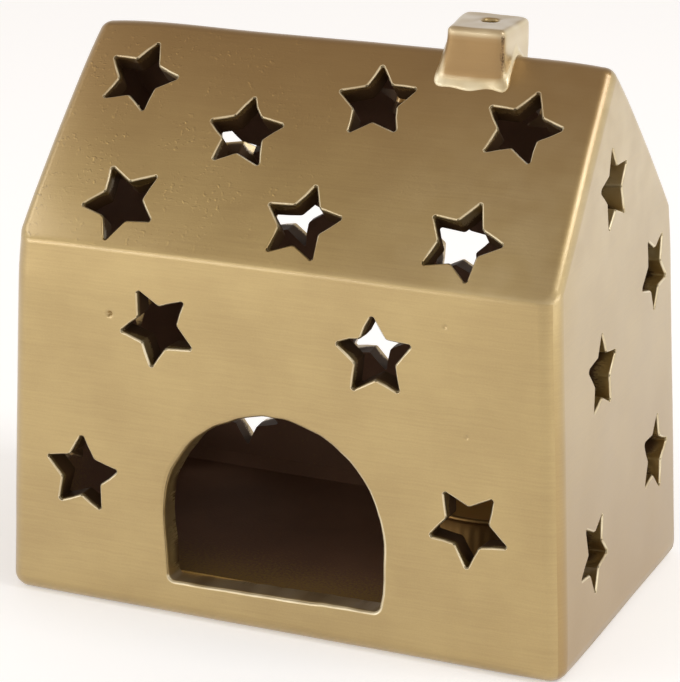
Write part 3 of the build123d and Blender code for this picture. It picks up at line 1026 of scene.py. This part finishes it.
class HOUSE_OT_slabs(bpy.types.Operator):
    """Shape the six slabs of the house and its floor from their CAD forms"""

    bl_idname = "tealight_house.slabs"
    bl_label = "Walls, gables, roof and floor"

    def execute(self, context):
        settings = context.scene.tealight_house
        materials = [brushed_gold_paint(settings), bare_terracotta(settings)]
        faces = house_faces()
        for name in SLABS:
            build_slab(name, faces, settings, materials)
        build_base(faces, settings, materials[1:])
        return {"FINISHED"}


class HOUSE_OT_chimney(bpy.types.Operator):
    """Shape the chimney with its luted foot and its flue"""

    bl_idname = "tealight_house.chimney"
    bl_label = "Chimney"

    def execute(self, context):
        settings = context.scene.tealight_house
        paint = bpy.data.materials.get("gold_paint_brushed_on_fired_clay")
        build_chimney(house_faces(), settings, [paint or brushed_gold_paint(settings)])
        return {"FINISHED"}


class HOUSE_OT_tealight(bpy.types.Operator):
    """Make the tealight: foil cup, wax, wick and the disc that holds it"""

    bl_idname = "tealight_house.tealight"
    bl_label = "Tealight"

    def execute(self, context):
        settings = context.scene.tealight_house
        low, high = (np.array(corner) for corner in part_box("tealight_cup"))
        middle = np.array((*(low + high)[:2] / 2, low[2]))
        foil_cup(middle, lacquered_foil(settings))
        poured_wax(middle, poured_beeswax(settings))
        twisted_wick(middle, waxed_cotton(settings))
        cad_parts["wick_sustainer"].data.materials[0] = tinned_steel(settings)
        return {"FINISHED"}


# The photograph's camera, found from the house's own edges
CAMERA_AZIMUTH = radians(23.70)
CAMERA_ELEVATION = radians(18.73)
CAMERA_DISTANCE = 529.4 * MM
CAMERA_TARGET = np.array((-1.87, 0.0, 45.54)) * MM
CAMERA_LENS = 149.8

# Light from straight above, where the studio is dim and warm, and from its white sides, and how
# high the one fades into the other
SKY_TOP = (0.46, 0.40, 0.35, 1.0)
SKY_SIDES = (1.0, 1.0, 1.0, 1.0)
SKY_FADE = (0.1, 0.9)

# Softboxes: name, azimuth, elevation, width and height in metres, glow and colour
LAMP_DISTANCE = 0.9
LAMPS = (
    ("low_left", -38, 5, (0.6, 0.1), 5.2, (1, 1, 1)),
    ("high_left", -64, 36, (0.4, 0.3), 2.2, (1, 1, 1)),
    ("low_right", 78, 7, (0.72, 0.12), 3.4, (1, 1, 1)),
    ("high_right", 90, 50, (0.3, 0.3), 7.5, (0.94, 0.97, 1.0)),
)

# Floor: how far it reaches, its colour and how much it is lifted to white where it is seen
FLOOR_REACH = 4.0
FLOOR_COLOUR = "#f0f0f0"
FLOOR_LIFT = 0.33


def direction(azimuth, elevation):
    """Unit vector towards a compass azimuth, from the front towards +X, and an elevation."""
    return np.array(
        (sin(azimuth) * cos(elevation), -cos(azimuth) * cos(elevation), sin(elevation))
    )


def soft_lamp(name, azimuth, elevation, size, glow, colour):
    """A softbox that looks at the middle of the house. Its power is pi times area times glow."""
    lamp = bpy.data.lights.new(name, "AREA")
    lamp.shape = "RECTANGLE"
    lamp.size, lamp.size_y = size
    lamp.energy = pi * size[0] * size[1] * glow
    lamp.color = colour
    place = bpy.data.objects.new(name, lamp)
    towards = direction(radians(azimuth), radians(elevation))
    place.location = CAMERA_TARGET + towards * LAMP_DISTANCE
    place.rotation_euler = Vector(towards).to_track_quat("Z", "Y").to_euler()
    bpy.context.scene.collection.objects.link(place)


class HOUSE_OT_stage(bpy.types.Operator):
    """Set the floor, the soft lights and the camera"""

    bl_idname = "tealight_house.stage"
    bl_label = "Stage"

    def execute(self, context):
        scene = context.scene
        scene.view_settings.view_transform = "Standard"

        camera = bpy.data.cameras.new("camera")
        camera.lens = CAMERA_LENS
        camera.clip_start = 10 * MM
        back = direction(CAMERA_AZIMUTH, CAMERA_ELEVATION)
        right = unit(np.cross((0.0, 0.0, 1.0), back))
        view = Matrix(np.column_stack((right, np.cross(back, right), back)).tolist()).to_4x4()
        view.translation = CAMERA_TARGET + back * CAMERA_DISTANCE
        viewer = bpy.data.objects.new("camera", camera)
        viewer.matrix_world = view
        scene.collection.objects.link(viewer)
        scene.camera = viewer

        square = np.array(((-1, -1, 0), (1, -1, 0), (1, 1, 0), (-1, 1, 0)), float) * FLOOR_REACH
        mesh = bpy.data.meshes.new("floor")
        mesh.from_pydata(square, [], [(0, 1, 2, 3)])
        floor = bpy.data.objects.new("floor", mesh)
        scene.collection.objects.link(floor)
        material, tree = new_material("white_paper_sweep")
        rays = add_node(tree, "ShaderNodeLightPath")
        seen = add_node(
            tree, "ShaderNodeMath",
            {0: rays.outputs["Is Camera Ray"], 1: rays.outputs["Is Glossy Ray"]},
            operation="MAXIMUM",
        )
        seen = add_node(
            tree, "ShaderNodeMath", {0: seen, 1: rays.outputs["Is Transmission Ray"]},
            operation="MAXIMUM",
        )
        lift = add_node(tree, "ShaderNodeMath", {0: seen, 1: FLOOR_LIFT}, operation="MULTIPLY")
        paper = add_node(tree, "ShaderNodeBsdfDiffuse", {"Color": rgba(linear(FLOOR_COLOUR))})
        glow = add_node(tree, "ShaderNodeEmission", {"Strength": lift})
        both = add_node(tree, "ShaderNodeAddShader", {0: paper, 1: glow})
        add_node(tree, "ShaderNodeOutputMaterial", {"Surface": both})
        mesh.materials.append(material)

        world = bpy.data.worlds.new("studio")
        scene.world = world
        world.use_nodes = True
        tree = world.node_tree
        tree.nodes.clear()
        sky = add_node(tree, "ShaderNodeTexCoord")
        height = add_node(tree, "ShaderNodeSeparateXYZ", {"Vector": sky.outputs["Generated"]})
        fade = add_node(
            tree, "ShaderNodeMapRange",
            {"Value": height.outputs["Z"], "From Min": SKY_FADE[0], "From Max": SKY_FADE[1]},
            interpolation_type="SMOOTHSTEP",
        )
        shade = add_node(
            tree, "ShaderNodeMix", {0: fade, 6: SKY_SIDES, 7: SKY_TOP}, data_type="RGBA",
        ).outputs[2]
        light = add_node(tree, "ShaderNodeBackground", {"Color": shade})
        add_node(tree, "ShaderNodeOutputWorld", {"Surface": light})

        for lamp in LAMPS:
            soft_lamp(*lamp)
        return {"FINISHED"}


class HOUSE_PT_panel(bpy.types.Panel):
    """Lists the house's pieces and its settings in the 3D view's sidebar"""

    bl_idname = "HOUSE_PT_panel"
    bl_label = "Tealight house"
    bl_space_type = "VIEW_3D"
    bl_region_type = "UI"
    bl_category = "Tealight house"

    def draw(self, context):
        for operator in OPERATORS:
            self.layout.operator(operator.bl_idname)
        for name in TealightHouseSettings.__annotations__:
            self.layout.prop(context.scene.tealight_house, name)


OPERATORS = (HOUSE_OT_slabs, HOUSE_OT_chimney, HOUSE_OT_tealight, HOUSE_OT_stage)
CLASSES = (TealightHouseSettings, *OPERATORS, HOUSE_PT_panel)


def register():
    for kind in CLASSES:
        bpy.utils.register_class(kind)
    bpy.types.Scene.tealight_house = bpy.props.PointerProperty(type=TealightHouseSettings)


def unregister():
    del bpy.types.Scene.tealight_house
    for kind in reversed(CLASSES):
        bpy.utils.unregister_class(kind)


def main():
    register()
    bpy.ops.tealight_house.slabs()
    bpy.ops.tealight_house.chimney()
    bpy.ops.tealight_house.tealight()
    bpy.ops.tealight_house.stage()


if __name__ == "__main__":
    main()
